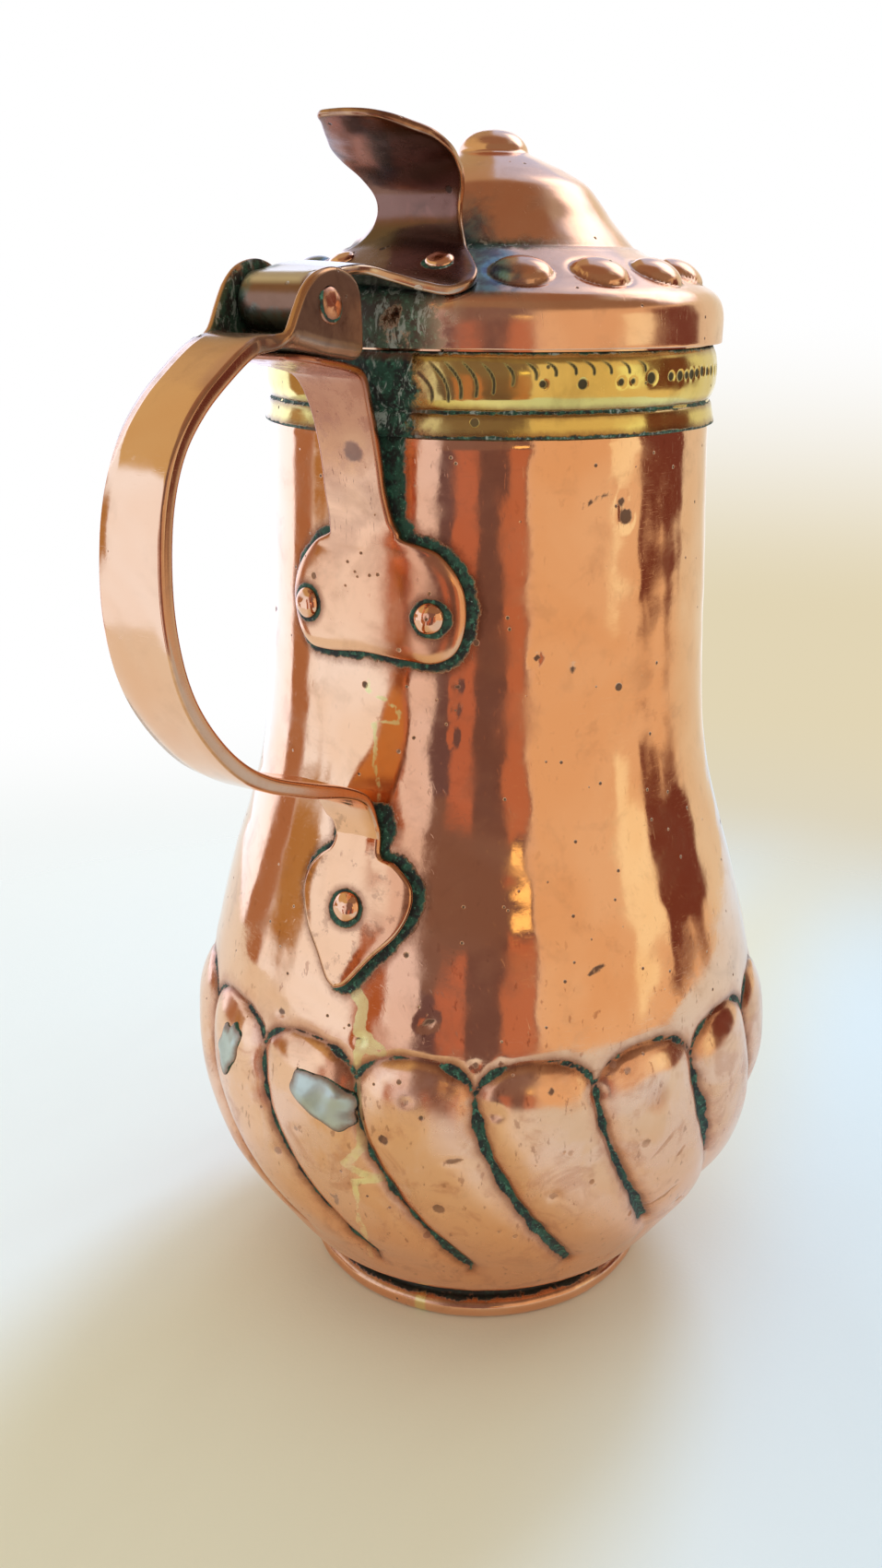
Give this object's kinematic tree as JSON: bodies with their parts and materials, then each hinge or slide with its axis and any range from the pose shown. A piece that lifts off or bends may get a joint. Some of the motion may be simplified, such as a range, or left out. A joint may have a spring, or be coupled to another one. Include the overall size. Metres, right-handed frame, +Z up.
{
  "type": "lidded water jug",
  "caption": "Lidded copper jug with a belly of swirled lobes, brass collar, strap handle and a hinged lid raised by a thumbpiece.",
  "frame": {"origin": "centre of the foot ring, on the table", "axes": "+Z up along the jug's axis, -X towards the handle, Y along the lid's hinge pin"},
  "size_m": [0.199, 0.1506, 0.286],
  "materials": {
    "copper": "polished copper, worn, dark in the grooves",
    "copper_strap": "polished pinkish copper with dark edges",
    "copper_handle": "hand-polished copper, satin",
    "copper_lid": "polished copper, tarnished round the bosses",
    "copper_dark": "dark brown unpolished copper",
    "brass": "polished yellow brass",
    "solder": "dull grey solder"
  },
  "bodies": {
    "jug": {"body_shell": "copper", "base_disc": "copper", "foot_ring": "copper", "collar": "brass", "solder_repairs": "solder", "strap_bracket": "copper_strap", "bracket_rivets": "copper_strap", "handle": "copper_handle", "handle_rivet": "copper_strap", "hinge_pin": "copper_dark"},
    "lid": {"lid_shell": "copper_lid", "lid_strap": "copper_dark", "lid_rivets": "copper_strap"}
  },
  "joints": [
    {"name": "lid_hinge", "type": "hinge", "parent": "jug", "child": "lid", "pos_m": [-0.079, 0, 0.25], "axis": [0, -1, 0], "range_deg": [0, 152]}
  ]
}
